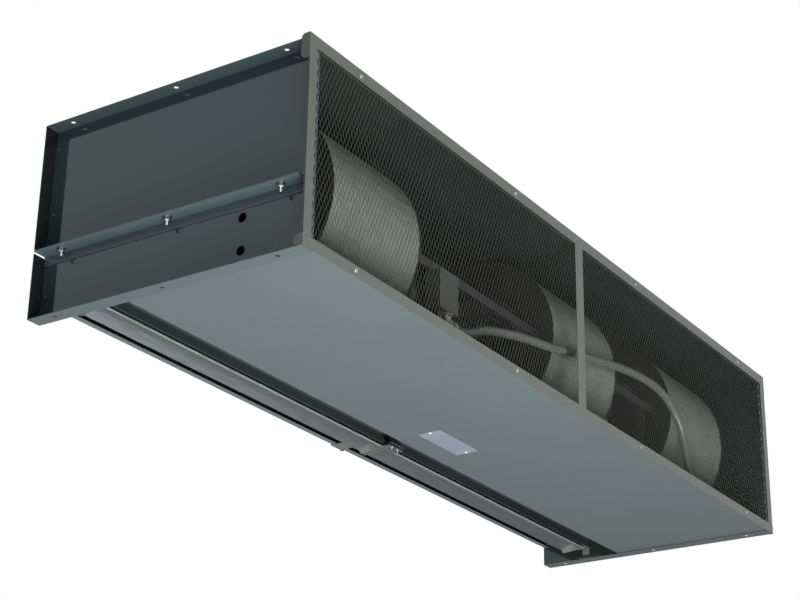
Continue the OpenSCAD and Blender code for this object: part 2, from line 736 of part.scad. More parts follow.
module junction_box() color([0.25, 0.25, 0.25]) difference() {
    union() {
        block([box_x - box_w / 2, box_y, box_z], [box_x + box_w / 2, tie_rail_y, box_top]);
        block([box_x - 12, tie_rail_y - box_t, box_top - 5],
              [box_x + 12, tie_rail_y, tie_rail_z + rail_leg / 2 - 3]);
    }
    block([box_x - box_w / 2 + box_t, box_y - 1, box_z + box_t],
          [box_x + box_w / 2 - box_t, tie_rail_y - box_t, box_top - box_t]);
}

module junction_box_cover() color([0.3, 0.3, 0.3])
    block([box_x - box_w / 2 - 1, box_y - box_t, box_z - 1], [box_x + box_w / 2 + 1, box_y, box_top + 1]);

// Strap from the bottom panel to the box
module junction_box_strap() color([0.45, 0.46, 0.45]) translate([box_x - 22, 0, 0]) {
    folded([[box_y + 34, floor_z + sheet_t], [box_y + 4, floor_z + sheet_t], [box_y + 10, box_z],
            [box_y + 32, box_z]], 0, 20, 2, 4);
}

conduit_y = front_y + 48;
outlet_x = -518;
outlet_y = conduit_y + 26;
elbow_r = 18;
elbow_z = box_z - 6;
ferrule_l = 16;
inlet_x = short_motor_x + terminal_x;
inlet_y = terminal_y + 14.5;
terminal_low = blower_z - terminal_h / 2;
// Route of the conduit from the elbow under the junction box to the short motor
conduit_route = [
    [-484, outlet_y, 82], [-464, outlet_y, 82], [-445, outlet_y, 84], [-421, outlet_y - 1, 91],
    [-396, outlet_y - 5, 102], [-359, outlet_y - 12, 118], [-296, conduit_y + 7, 133],
    [-204, conduit_y + 2, 152], [-79, conduit_y, 171], [21, conduit_y, 193],
    [124, conduit_y, 212], [225, conduit_y, 231], [320, conduit_y, 247], [400, conduit_y, 257],
    [470, conduit_y, 262], [528, conduit_y, 261], [578, conduit_y, 253], [619, conduit_y, 238],
    [651, conduit_y - 1, 215], [677, conduit_y - 3, 185], [695, conduit_y - 2, 150],
    [711, conduit_y + 1, 104], [728, conduit_y + 1, 63], [754, conduit_y - 8, 33],
    [792, conduit_y - 22, 17], [843, conduit_y - 33, 16], [884, conduit_y - 29, 16],
    [917, conduit_y - 7, 16], [936, conduit_y + 31, 16], [934, conduit_y + 73, 16],
    [911, conduit_y + 109, 16], [871, conduit_y + 130, 16], [815, conduit_y + 132, 16],
    [739, conduit_y + 132, 16], [679, conduit_y + 132, 16], [610, conduit_y + 132, 16],
    [569, conduit_y + 139, 28], [539, conduit_y + 147, 53], [522, conduit_y + 155, 87],
    [inlet_x, inlet_y, 130], [inlet_x, inlet_y, terminal_low - fitting_h]
];

module conduit() color([0.4, 0.41, 0.41]) cord(conduit_route, conduit_r, 80, 12);

lead_r = 6;
earth_r = 2.5;
gland_l = 10;
lead_y = terminal_y + 18;
box_side_x = box_x + box_w / 2;
lead_x = long_motor_x - terminal_x - 12.5;
earth_x = long_motor_x - terminal_x + 11.5;
lead_route = [
    [box_side_x + gland_l, box_y + 18, 146], [-471, box_y + 18, 146], [-447, box_y + 25, 142],
    [-422, box_y + 41, 136], [-404, box_y + 62, 131], [-392, box_y + 84, 129],
    [-387, box_y + 105, 128], [-384, box_y + 128, 134], [-384, box_y + 145, 150],
    [lead_x, lead_y, terminal_low - gland_l - 8], [lead_x, lead_y, terminal_low - gland_l]
];
earth_route = [
    [box_side_x, box_y + 18, 172], [-480, box_y + 18, 172], [-455, box_y + 25, 167],
    [-430, box_y + 43, 158], [-406, box_y + 68, 149], [-385, box_y + 95, 145],
    [-369, box_y + 120, 149], [-361, box_y + 138, 160],
    [earth_x, lead_y - 5, 180], [earth_x, lead_y - 5, terminal_low]
];

// Elbow under the junction box, straight fitting at the motor and glands of the lead
module conduit_fittings() color([0.5, 0.5, 0.5]) {
    translate([outlet_x, outlet_y, elbow_z]) cylinder(h = box_z - elbow_z, r = 16, $fn = 6);
    intersection() {
        translate([outlet_x + elbow_r, outlet_y, elbow_z]) rotate([90, 0, 0]) rotate_extrude()
            translate([elbow_r, 0]) circle(r = conduit_r);
        block([outlet_x - 2 * elbow_r, outlet_y - 2 * elbow_r, elbow_z - 3 * elbow_r],
              [outlet_x + elbow_r, outlet_y + 2 * elbow_r, elbow_z]);
    }
    rod_x(outlet_x + elbow_r, outlet_y, elbow_z - elbow_r, conduit_r + 3, ferrule_l);
    translate([inlet_x, inlet_y, terminal_low - fitting_h])
        cylinder(h = fitting_h, r = conduit_r + 2);
    rod_x(box_side_x, box_y + 18, 146, lead_r + 2, gland_l);
    translate([lead_x, lead_y, terminal_low - gland_l]) cylinder(h = gland_l, r = lead_r + 2);
}

module earth_wire() color([0.75, 0.65, 0.1]) cord(earth_route, earth_r, 30);

module motor_lead() color([0.06, 0.06, 0.06]) cord(lead_route, lead_r, 30);

// ---- Vanes ----

// Section of a vane: flat front lip, step, arch and hemmed rear edge
vane_front_y = pivot_y - vane_lip;
function vane_path() = concat(
    [[vane_front_y, pivot_z - 6], [pivot_y + 6, pivot_z - 6]],
    [for (i = [0:10]) let (f = i / 10)
        [pivot_y + 10 + (vane_d - 10) * f, pivot_z + 1 - 5 * f + vane_rise * sin(180 * pow(f, 0.8))]]);

module vane() along_x(-vane_x, vane_l) polygon(strip(vane_path(), -vane_t));

// End cap that closes the arch, with a round nose about the pivot
module vane_cap(x) along_x(x, cap_t) polygon(concat(
    [for (a = [90:15:270]) [pivot_y, pivot_z] + cap_nose_r * [cos(a), sin(a)]],
    corner([pivot_y, pivot_z - cap_nose_r], [pivot_y + vane_d - 3, pivot_z - 13],
           [pivot_y + vane_d, pivot_z - 4], 5),
    [for (i = [10:-1:1]) let (f = i / 10)
        [pivot_y + 10 + (vane_d - 10) * f,
         pivot_z + vane_t + 2.5 - 5 * f + vane_rise * sin(180 * pow(f, 0.8))]]));

// Both end caps of the left vane, with the pins that the vane turns on
module vane_caps() {
    vane_cap(-vane_end_x - cap_t / 2);
    rod_x(-vane_end_x - cap_t - pin_l, pivot_y, pivot_z, pivot_r, pin_l + eps);
    vane_cap(-vane_gap / 2 + cap_t / 2);
    rod_x(-vane_gap / 2 + cap_t - eps, pivot_y, pivot_z, pivot_r, centre_pin_l + eps);
}

module left_vane() color([0.6, 0.62, 0.63]) vane();
module right_vane() color([0.5, 0.52, 0.52]) mirror([1, 0, 0]) vane();
module left_vane_caps() color([0.4, 0.42, 0.42]) vane_caps();
module right_vane_caps() color([0.4, 0.42, 0.42]) mirror([1, 0, 0]) vane_caps();

// Bent strap from each end web to the outer pivot of its vane
module vane_end_brackets() color([0.45, 0.46, 0.46]) {
    ear_x = -vane_end_x - cap_t - bracket_gap;
    for (s = [0, 1]) mirror([s, 0, 0]) difference() {
        folded_y([[ear_x, pivot_z - bracket_drop], [ear_x, pivot_z + bracket_rise],
                  [-in_x, pivot_z + bracket_rise], [-in_x, pivot_z - bracket_web]],
                 pivot_y - bracket_front, pivot_y + bracket_back, -bracket_t);
        rod_x(ear_x - bracket_t - 1, pivot_y, pivot_z, pivot_r + pivot_clearance, bracket_t + 2);
    }
}

foot_t = 3;
foot_w = 44;
foot_front_y = rear_y - 64;
foot_bolts = [[-8, rear_y - 51], [14, rear_y - 11]];
foot_bolt_r = 3;

// Hanger between the two vanes: pivot boss, web and a foot under the rear return
module centre_bracket() color([0.5, 0.52, 0.52]) difference() {
    union() {
        along_x(0, bracket_t) polygon([
            [pivot_y - cap_nose_r, pivot_z], [pivot_y - 4, pivot_z - 5], [pivot_y + 6, pivot_z - 5],
            [foot_front_y, rear_gap - foot_t], [rear_y - rear_return - 1, rear_gap - foot_t],
            [rear_y - rear_return - 1, rear_gap + 18], [pivot_y + 44, rear_gap + 18],
            [pivot_y - cap_nose_r, pivot_z + 12]]);
        rod_x(-boss_w / 2, pivot_y, pivot_z, cap_nose_r, boss_w);
        block([-foot_w / 2, foot_front_y, rear_gap - foot_t], [foot_w / 2, rear_y, rear_gap]);
    }
    rod_x(-boss_w, pivot_y, pivot_z, pivot_r + pivot_clearance, 2 * boss_w);
    for (p = foot_bolts) translate([p.x, p.y, rear_gap - 2 * foot_t])
        cylinder(h = 3 * foot_t, r = foot_bolt_r + hole_play);
}

// Bolts of the centre bracket's foot and of the lock, all with their heads below
module centre_bolts() color([0.7, 0.7, 0.7]) {
    for (p = foot_bolts) {
        seat_z = rear_gap + (p.y > rear_y - rear_return ? sheet_t : 0);
        bolt(p.x, p.y, rear_gap - foot_t, seat_z - rear_gap + 2 * foot_t + foot_bolt_r, foot_bolt_r);
        nut(p.x, p.y, seat_z, 1.6 * foot_bolt_r, foot_bolt_r);
    }
    for (x = [knob_x, wing_x]) {
        bolt(x, lock_y, clip_top - clip_t, 27, lock_bolt_r);
        nut(x, lock_y, clip_top, rear_wall_z - 1 - clip_top, lock_bolt_r);
    }
}

// Nut of height h, seated at z
module nut(x, y, z, h, r) translate([x, y, z]) cylinder(h = h, r = 1.9 * r, $fn = 6);

// Bolt with its head under z and its shank of length l over it
module bolt(x, y, z, l, r) translate([x, y, z]) {
    cylinder(h = l, r = r);
    translate([0, 0, -1.5]) cylinder(h = 1.5, r = 2.6 * r);
    translate([0, 0, -1.5 - 1.6 * r]) cylinder(h = 1.6 * r, r = 1.9 * r, $fn = 6);
}

// Clip that holds both vanes' lips up
module lock_clip() color([0.6, 0.62, 0.62]) difference() {
    block([knob_x - 24, lock_y - 10, clip_top - clip_t], [wing_x + 14, pivot_y - 4, clip_top]);
    for (x = [knob_x, wing_x]) translate([x, lock_y, clip_top - 2 * clip_t])
        cylinder(h = 3 * clip_t, r = lock_bolt_r + hole_play);
}

lock_top = rear_wall_z - 1 + tab_t;

// Grip outline with eight lobes
knob_outline = [for (i = [0:63]) let (a = i * 360 / 64)
    (knob_r - 0.8 * (1 - cos(8 * a))) * [cos(a), sin(a)]];

module lock_knob() color([0.06, 0.06, 0.06]) translate([knob_x, lock_y, lock_top + 0.2]) difference() {
    union() {
        cylinder(h = 5, r = 7);
        translate([0, 0, 4]) linear_extrude(16) polygon(knob_outline);
    }
    translate([0, 0, -1]) cylinder(h = 17, r = lock_bolt_r + pivot_clearance);
}

module wing_nut() color([0.7, 0.5, 0.45]) translate([wing_x, lock_y, lock_top + 0.2]) difference() {
    union() {
        cylinder(h = 7, r1 = 6.5, r2 = 5);
        for (s = [0, 180]) rotate([90, 0, s]) linear_extrude(2.4, center = true)
            polygon([[4, 1], [7, 1.5], [13, 9], [13.5, 12], [11.5, 13.5], [9, 12.5], [4, 6]]);
    }
    translate([0, 0, -1]) cylinder(h = 20, r = lock_bolt_r + pivot_clearance);
}

left_end_panel();
right_end_panel();
top_panel();
rear_panel();
bottom_panel();
grille_top_rail();
grille_bottom_rail();
grille_stiles();
grille_mullion();
left_grille_mesh();
right_grille_mesh();
grille_screws();
mounting_angles();
mounting_bolts();
mounting_nuts();
rivets();
nameplate();
nozzle_front_wall();
nozzle_rear_wall();
lock_tab();
blower_deck();
left_blower_wrap();
left_blower_sides();
left_blower_inlets();
left_blower_wheel();
left_wheel_rings();
middle_blower_wrap();
middle_blower_sides();
middle_blower_inlets();
middle_blower_wheel();
middle_wheel_rings();
right_blower_wrap();
right_blower_sides();
right_blower_inlets();
right_blower_wheel();
right_wheel_rings();
long_motor();
short_motor();
long_shaft();
short_shaft();
motor_cradles();
motor_rings();
tie_rails();
junction_box();
junction_box_cover();
junction_box_strap();
conduit();
conduit_fittings();
earth_wire();
motor_lead();
left_vane();
right_vane();
left_vane_caps();
right_vane_caps();
vane_end_brackets();
centre_bracket();
centre_bolts();
lock_clip();
lock_knob();
wing_nut();
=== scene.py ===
"""Air curtain seen from below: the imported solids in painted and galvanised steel, with the expanded
metal at its true pitch, threaded fasteners, wiring, studio light and the photograph's camera.
Lengths are in metres. X runs along the cabinet, and Y from the grille to the back."""

import math

import bpy
import numpy as np
from mathutils import Matrix, Vector


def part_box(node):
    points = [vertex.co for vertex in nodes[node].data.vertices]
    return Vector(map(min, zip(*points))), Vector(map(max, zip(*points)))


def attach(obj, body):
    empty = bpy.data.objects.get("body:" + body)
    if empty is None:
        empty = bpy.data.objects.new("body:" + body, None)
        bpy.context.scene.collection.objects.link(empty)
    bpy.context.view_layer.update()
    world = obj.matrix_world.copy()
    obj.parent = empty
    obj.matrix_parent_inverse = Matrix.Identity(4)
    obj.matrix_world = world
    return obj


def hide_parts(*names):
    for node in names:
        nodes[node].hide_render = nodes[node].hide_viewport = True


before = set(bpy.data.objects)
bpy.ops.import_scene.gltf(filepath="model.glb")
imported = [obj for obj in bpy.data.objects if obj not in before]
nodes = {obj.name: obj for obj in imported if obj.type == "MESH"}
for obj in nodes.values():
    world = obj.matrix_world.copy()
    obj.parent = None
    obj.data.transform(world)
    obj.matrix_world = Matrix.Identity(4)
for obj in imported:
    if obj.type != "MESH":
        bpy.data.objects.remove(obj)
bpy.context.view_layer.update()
scene = bpy.context.scene


# ---- Places in the frame ----

X, Y, Z = 0, 1, 2
SHEET = 0.0016                                  # cabinet's sheet steel
END_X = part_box("right_end_panel")[1].x          # edge of the end panels' outward flanges
WEB_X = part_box("right_end_panel")[0].x          # inner face of the end panels' webs
FRONT_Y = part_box("bottom_panel")[0].y
BACK_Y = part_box("rear_panel")[1].y
TOP_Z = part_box("top_panel")[1].z
RETURN_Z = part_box("rear_panel")[0].z            # underside of the rear panel's return
ANGLE_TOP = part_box("mounting_angles")[1].z
LIP_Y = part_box("left_vane")[0].y + 0.006        # back edge of the vanes' front lip, which keeps the bright aluminium; behind it the vane is painted shade


# ---- Camera ----

AZIMUTH, ELEVATION, ROLL = 56.26, 23.44, 0.96   # degrees; azimuth is from +Y towards +X
CAMERA = Vector((-3.9276, -2.44685, -1.6072))
FOCAL_LENGTH, PHOTO_WIDTH = 1890.6, 800         # pixels
SENSOR = 36                                     # mm


def make_camera():
    """Camera fitted to the photograph."""
    azimuth, elevation, roll = map(math.radians, (AZIMUTH, ELEVATION, ROLL))
    ahead = Vector((math.sin(azimuth) * math.cos(elevation),
                    math.cos(azimuth) * math.cos(elevation), math.sin(elevation)))
    level = ahead.cross(Vector((0, 0, 1))).normalized()
    upright = level.cross(ahead)
    right = math.cos(roll) * level + math.sin(roll) * upright
    up = -math.sin(roll) * level + math.cos(roll) * upright
    data = bpy.data.cameras.new("camera")
    data.sensor_width = SENSOR
    data.lens = FOCAL_LENGTH * SENSOR / PHOTO_WIDTH
    data.clip_start, data.clip_end = 0.05, 60
    camera = bpy.data.objects.new("camera", data)
    scene.collection.objects.link(camera)
    place = Matrix((right, up, -ahead)).transposed().to_4x4()
    place.translation = CAMERA
    camera.matrix_world = place
    scene.camera = camera


make_camera()


# ---- Materials ----

BLACK, WHITE = (0, 0, 0), (1, 1, 1)
DUST = (150, 152, 148)
# Sockets of the colour kind of Blender's Mix node
MIX_FACTOR, MIX_A, MIX_B, MIX_RESULT = 0, 6, 7, 2


def srgb(r, g, b):
    """Linear colour of an 8-bit one."""
    def linear(c):
        return c / 12.92 if c <= 0.04045 else ((c + 0.055) / 1.055) ** 2.4
    return tuple(linear(c / 255) for c in (r, g, b))


def dim(color, factor):
    return tuple(c * factor for c in color)


class Nodes:
    """A new material, with a short call for each kind of node used here. A noise's scale is in
    lumps to the metre, as all of them read object coordinates."""

    def __init__(self, name):
        self.mat = bpy.data.materials.new(name)
        self.mat.use_nodes = True
        self.tree = self.mat.node_tree
        self.bsdf = self.tree.nodes["Principled BSDF"]
        self.coord = self.tree.nodes.new("ShaderNodeTexCoord").outputs["Object"]

    def link(self, output, socket):
        self.tree.links.new(output, socket)

    def new(self, kind, **values):
        """Node with some properties and inputs set."""
        node = self.tree.nodes.new(kind)
        for key, value in values.items():
            if hasattr(node, key):
                setattr(node, key, value)
            else:
                node.inputs[key].default_value = value
        return node

    def feed(self, socket, value):
        """Set a socket to a number or a linear colour, or link an output to it."""
        if isinstance(value, (float, int)):
            socket.default_value = value
        elif isinstance(value, tuple):
            socket.default_value = (*value, 1)
        else:
            self.link(value, socket)

    def stretched(self, factors):
        """Object coordinates times a factor along each axis."""
        node = self.new("ShaderNodeMapping")
        node.inputs["Scale"].default_value = factors
        self.link(self.coord, node.inputs["Vector"])
        return node.outputs["Vector"]

    def noise(self, scale, detail=3.0, rough=0.55, at=None):
        node = self.new("ShaderNodeTexNoise", Scale=scale, Detail=detail, Roughness=rough)
        self.link(at or self.coord, node.inputs["Vector"])
        return node.outputs["Fac"]

    def ramp(self, fac, *stops):
        """Colour ramp between two stops, each (position, linear colour)."""
        node = self.new("ShaderNodeValToRGB")
        for element, (position, color) in zip(node.color_ramp.elements, stops):
            element.position = position
            element.color = (*color, 1)
        self.link(fac, node.inputs["Fac"])
        return node.outputs["Color"]

    def remap(self, value, low, high, start=0.3, end=0.7):
        """low where value is start or less, high where it is end or more."""
        node = self.new("ShaderNodeMapRange")
        for key, number in zip(("From Min", "From Max", "To Min", "To Max"), (start, end, low, high)):
            node.inputs[key].default_value = number
        self.link(value, node.inputs["Value"])
        return node.outputs["Result"]

    def along(self, axis):
        """Object coordinate along one axis."""
        node = self.new("ShaderNodeSeparateXYZ")
        self.link(self.coord, node.inputs[0])
        return node.outputs[axis]

    def between(self, axis, start, end, edge=0.0001):
        """1 where the coordinate lies from start to end, otherwise 0."""
        place = self.along(axis)
        node = self.new("ShaderNodeMath", operation="MULTIPLY")
        self.link(self.remap(place, 0, 1, start - edge, start), node.inputs[0])
        self.link(self.remap(place, 1, 0, end, end + edge), node.inputs[1])
        return node.outputs[0]

    def mix(self, fac, a, b):
        node = self.new("ShaderNodeMix", data_type="RGBA")
        for socket, value in ((MIX_FACTOR, fac), (MIX_A, a), (MIX_B, b)):
            self.feed(node.inputs[socket], value)
        return node.outputs[MIX_RESULT]

    def bump(self, height, strength, distance, normal=None):
        node = self.new("ShaderNodeBump", Strength=strength, Distance=distance)
        self.link(height, node.inputs["Height"])
        if normal:
            self.link(normal, node.inputs["Normal"])
        return node.outputs["Normal"]

    def bevel(self, radius):
        return self.new("ShaderNodeBevel", samples=4, Radius=radius).outputs["Normal"]

    def finish(self, color, rough, normal, metallic=0.0, coat=0.0, tint=WHITE):
        """The material, with its shader's sockets set."""
        sockets = self.bsdf.inputs
        sockets["Metallic"].default_value = metallic
        sockets["Coat Weight"].default_value = coat
        sockets["Coat Roughness"].default_value = 0.12
        sockets["Specular Tint"].default_value = (*tint, 1)
        for key, output in (("Base Color", color), ("Roughness", rough), ("Normal", normal)):
            self.link(output, sockets[key])
        return self.mat


def paint(name, rgb, rough, coat=0.0, tint=WHITE, faces=()):
    """Sprayed enamel on sheet steel: a trace of orange peel, cloudy gloss, a little dust.
    Each of faces is (axis, from, to, colour): the sheet that lies there takes that colour in place of
    the enamel's; the faces given below carry painted shade, painted light and one face painted near
    black."""
    n = Nodes(name)
    base = srgb(*rgb)
    color = n.ramp(n.noise(scale=2.3), (0.3, dim(base, 0.97)), (0.7, dim(base, 1.03)))
    for axis, start, end, shade in faces:
        color = n.mix(n.between(axis, start, end), color, srgb(*shade))
    specks = n.ramp(n.noise(scale=260, detail=2), (0.62, BLACK), (0.8, WHITE))
    color = n.mix(n.remap(specks, 0, 0.015, 0, 1), color, srgb(*DUST))
    smear = n.noise(scale=5, detail=4, rough=0.6, at=n.stretched((1, 2, 1)))
    wave = n.bump(n.noise(scale=1.7, detail=2), 0.12, 0.001, n.bevel(0.0008))
    peel = n.bump(n.noise(scale=420, detail=2), 0.03, 0.0002, wave)
    return n.finish(color, n.remap(smear, rough - 0.02, rough + 0.04), peel, coat=coat, tint=tint)


def galvanised(name, rgb, rough, metallic):
    """Galvanised sheet: a faint spangle and rolling streaks."""
    n = Nodes(name)
    base = srgb(*rgb)
    spangle = n.new("ShaderNodeTexVoronoi", Scale=38)
    n.link(n.coord, spangle.inputs["Vector"])
    cloud = n.ramp(n.noise(scale=6, detail=4), (0.2, BLACK), (0.8, WHITE))
    grey = n.new("ShaderNodeRGBToBW")
    n.link(n.mix(0.5, spangle.outputs["Color"], cloud), grey.inputs[0])
    color = n.ramp(grey.outputs[0], (0.2, dim(base, 0.86)), (0.8, dim(base, 1.1)))
    streak = n.noise(scale=60, rough=0.6, at=n.stretched((0.15, 1, 1)))
    normal = n.bump(n.noise(scale=240, detail=2), 0.08, 0.0003, n.bevel(0.0006))
    return n.finish(color, n.remap(streak, rough - 0.08, rough + 0.1), normal, metallic)


def metal(name, rgb, rough, scale, stretch=(1, 1, 1), painted_shade_from=None):
    """Plain or plated metal with fine grain. The last argument, (axis, from, to, colour from there
    on), paints shade over all that lies beyond a place.
    """
    n = Nodes(name)
    base = srgb(*rgb)
    grain = n.noise(scale, rough=0.6, at=n.stretched(stretch))
    color = n.ramp(grain, (0.3, dim(base, 0.8)), (0.7, dim(base, 1.08)))
    # painted shade: a darker copy of the metal from a place on
    if painted_shade_from:
        axis, start, end, shade = painted_shade_from
        color = n.mix(n.remap(n.along(axis), 0, 1, start, end), color, srgb(*shade))
    normal = n.bump(grain, 0.18, 0.0002, n.bevel(0.0003))
    return n.finish(color, n.remap(grain, rough - 0.06, rough + 0.12), normal, metallic=1.0)


def plastic(name, rgb, rough, scale=300):
    """Moulded plastic, rubber, insulation or dull aluminium."""
    n = Nodes(name)
    base = srgb(*rgb)
    grain = n.noise(scale)
    color = n.ramp(grain, (0.3, dim(base, 0.85)), (0.7, dim(base, 1.15)))
    return n.finish(color, n.remap(grain, rough - 0.08, rough + 0.08), n.bump(grain, 0.15, 0.0003))


def skin(axis, at, color, depth=0.0002):
    """The face of a sheet at a coordinate, as one of a paint's faces."""
    return axis, at - depth, at + depth, color


FAR = 1.0                       # further than any sheet reaches
SKIN_DEPTH = 0.0004                # depth of a sheet's outer face, where a mask of painted shade or painted light stops or starts
# Painted shade for the cabinet's inner faces: darker than the same paint outside, because the inside
# lies in shade
PAINTED_SHADE_INSIDE = (28, 33, 31)
WEB_PAINTED_SHADE_INSIDE = (30, 34, 33)

MATERIALS = {
    "bottom": paint("bottom_paint", (73, 82, 84), 0.3),
    # End panels: the webs' inner faces in painted shade, the rear flange's inner face painted near
    # black, and the bottom flange's downward face painted lighter than the rest of the web, a lit copy
    # of the same paint
    "web": paint("web_paint", (55, 68, 71), 0.06, tint=(0.8, 1.0, 1.03), faces=[
        skin(Y, BACK_Y - SHEET, (24, 27, 26)), skin(X, -WEB_X, WEB_PAINTED_SHADE_INSIDE),
        skin(X, WEB_X, WEB_PAINTED_SHADE_INSIDE), skin(Z, 0, (70, 79, 81), depth=0.001)]),
    # Top panel: all but its outer face in painted shade
    "shell": paint("shell_paint", (60, 76, 80), 0.2, faces=[(Z, -FAR, TOP_Z - SKIN_DEPTH, PAINTED_SHADE_INSIDE)]),
    # Rear panel: its inner faces in painted shade, and the underside of its return painted lighter, a
    # lit copy of the same paint
    "rear": paint("rear_paint", (60, 76, 80), 0.2, faces=[
        (Y, -FAR, BACK_Y - SKIN_DEPTH, PAINTED_SHADE_INSIDE), (Z, -FAR, RETURN_Z + SKIN_DEPTH, (80, 92, 94))]),
    "frame": paint("frame_paint", (70, 75, 71), 0.3),
    "angle": paint("angle_paint", (72, 87, 90), 0.3),
    "mesh": paint("mesh_paint", (43, 46, 42), 0.42, coat=0.1),
    "nozzle": paint("nozzle_paint", (50, 59, 58), 0.42),
    "rail": paint("rail_paint", (20, 21, 21), 0.45),
    "motor": paint("motor_enamel", (22, 22, 23), 0.4, coat=0.1),
    "box": paint("box_paint", (60, 62, 60), 0.42, coat=0.1),
    "wrap": galvanised("wrap_steel", (134, 137, 132), 0.5, metallic=0.35),
    # Blower side plates: painted shade, a near-black tone for the shade inside the cabinet and not the
    # galvanised steel's own colour
    "side": galvanised("side_steel_painted_shade", (22, 24, 22), 0.5, metallic=0.1),
    "inlet": galvanised("inlet_steel", (70, 72, 69), 0.45, metallic=0.4),
    "wheel": galvanised("wheel_steel", (96, 98, 96), 0.42, metallic=0.6),
    "bracket": galvanised("bracket_steel", (104, 107, 104), 0.45, metallic=0.4),
    "plate": galvanised("plate_aluminium", (126, 129, 145), 0.4, metallic=0.3),
    "cap": galvanised("cap_steel", (104, 108, 100), 0.5, metallic=0.2),
    "shaft": metal("ground_steel", (186, 186, 184), 0.22, 400, (0.05, 1, 1)),
    "zinc": metal("zinc_plate", (172, 174, 172), 0.34, 260),
    "bolt": metal("bolt_zinc", (148, 151, 151), 0.36, 260),
    "fitting": metal("fitting_zinc", (150, 151, 147), 0.5, 160),
    # Vanes: bright aluminium on the front lip, and painted shade, a darker copy of the same metal,
    # behind it
    "vane": metal("vane_aluminium", (238, 244, 242), 0.4, 900, (0.02, 1, 1),
                  painted_shade_from=(Y, LIP_Y, LIP_Y + 0.002, (154, 160, 164))),
    "clip": metal("clip_aluminium", (176, 181, 182), 0.34, 240),
    "copper": metal("wing_copper", (196, 150, 132), 0.3, 200),
    "rivet": plastic("rivet_aluminium", (236, 238, 238), 0.35, 200),
    "rubber": plastic("black_rubber", (20, 20, 20), 0.7, 200),
    "black": plastic("black_plastic", (20, 20, 20), 0.4),
    "hose": plastic("hose_pvc", (95, 97, 95), 0.36, 90),
    "band": plastic("hose_band", (34, 35, 35), 0.5),
    "green": plastic("earth_insulation", (150, 140, 40), 0.4, 120),
    "lead": plastic("lead_insulation", (22, 22, 22), 0.45),
}

SIDES = ("left", "right")
BLOWERS = ("left", "middle", "right")


def each(places, part):
    """Names of a part's nodes, such as left_vane and right_vane."""
    return [f"{place}_{part}" for place in places]


DRESS = {
    "web": each(SIDES, "end_panel"),
    "shell": ["top_panel"],
    "rear": ["rear_panel"],
    "bottom": ["bottom_panel"],
    "frame": ["grille_top_rail", "grille_bottom_rail", "grille_stiles", "grille_mullion"],
    "mesh": each(SIDES, "grille_mesh"),
    "angle": ["mounting_angles"],
    "bolt": ["mounting_bolts", "mounting_nuts"],
    "zinc": ["grille_screws", "rivets", "centre_bolts"],
    "plate": ["nameplate"],
    "nozzle": ["nozzle_front_wall", "nozzle_rear_wall", "lock_tab", "blower_deck"],
    "wrap": each(BLOWERS, "blower_wrap"),
    "side": each(BLOWERS, "blower_sides"),
    "inlet": each(BLOWERS, "blower_inlets"),
    "wheel": each(BLOWERS, "blower_wheel") + each(BLOWERS, "wheel_rings"),
    "motor": ["long_motor", "short_motor"],
    "shaft": ["long_shaft", "short_shaft"],
    "rubber": ["motor_rings"],
    "rail": ["motor_cradles", "tie_rails", "junction_box_strap"],
    "box": ["junction_box", "junction_box_cover"],
    "fitting": ["conduit_fittings"],
    "hose": ["conduit"],
    "lead": ["motor_lead"],
    "green": ["earth_wire"],
    "bracket": ["vane_end_brackets", "centre_bracket"],
    "vane": each(SIDES, "vane"),
    "cap": each(SIDES, "vane_caps"),
    "clip": ["lock_clip"],
    "black": ["lock_knob"],
    "copper": ["wing_nut"],
}


def dress():
    """Give every CAD node its material."""
    for key, names in DRESS.items():
        for name in names:
            slots = nodes[name].data.materials
            slots.clear()
            slots.append(MATERIALS[key])


dress()


# ---- Pieces ----

def place_piece(name, data, key):
    """Object of a mesh, in a material and slot, that rides on the cabinet."""
    data.materials.append(MATERIALS[key])
    piece = bpy.data.objects.new(name, data)
    scene.collection.objects.link(piece)
    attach(piece, "cabinet")
    return piece


def add_piece(name, verts, faces, key, smooth=False):
    """Piece made of plain lists of vertices and faces."""
    data = bpy.data.meshes.new(name)
    data.from_pydata([tuple(v) for v in verts], [], [tuple(f) for f in faces])
    data.validate()
    if smooth:
        data.shade_smooth()
    return place_piece(name, data, key)


def quad_mesh(name, verts, faces):
    """Mesh of many quads, made quickly from arrays."""
    data = bpy.data.meshes.new(name)
    data.vertices.add(len(verts))
    data.vertices.foreach_set("co", verts.astype(np.float32).ravel())
    data.loops.add(faces.size)
    data.loops.foreach_set("vertex_index", faces.astype(np.int32).ravel())
    data.polygons.add(len(faces))
    data.polygons.foreach_set("loop_start", np.arange(0, faces.size, 4, dtype=np.int32))
    data.update(calc_edges=True)
    return data


# ---- Expanded metal ----

HALF_PITCH = np.array([0.0127, 0.028]) / 2      # of the diamonds, across and up
STRAND_W, STRAND_T = 0.0017, 0.00055
LEAN = 0.00027                                  # of a strand's edges out of the sheet's plane


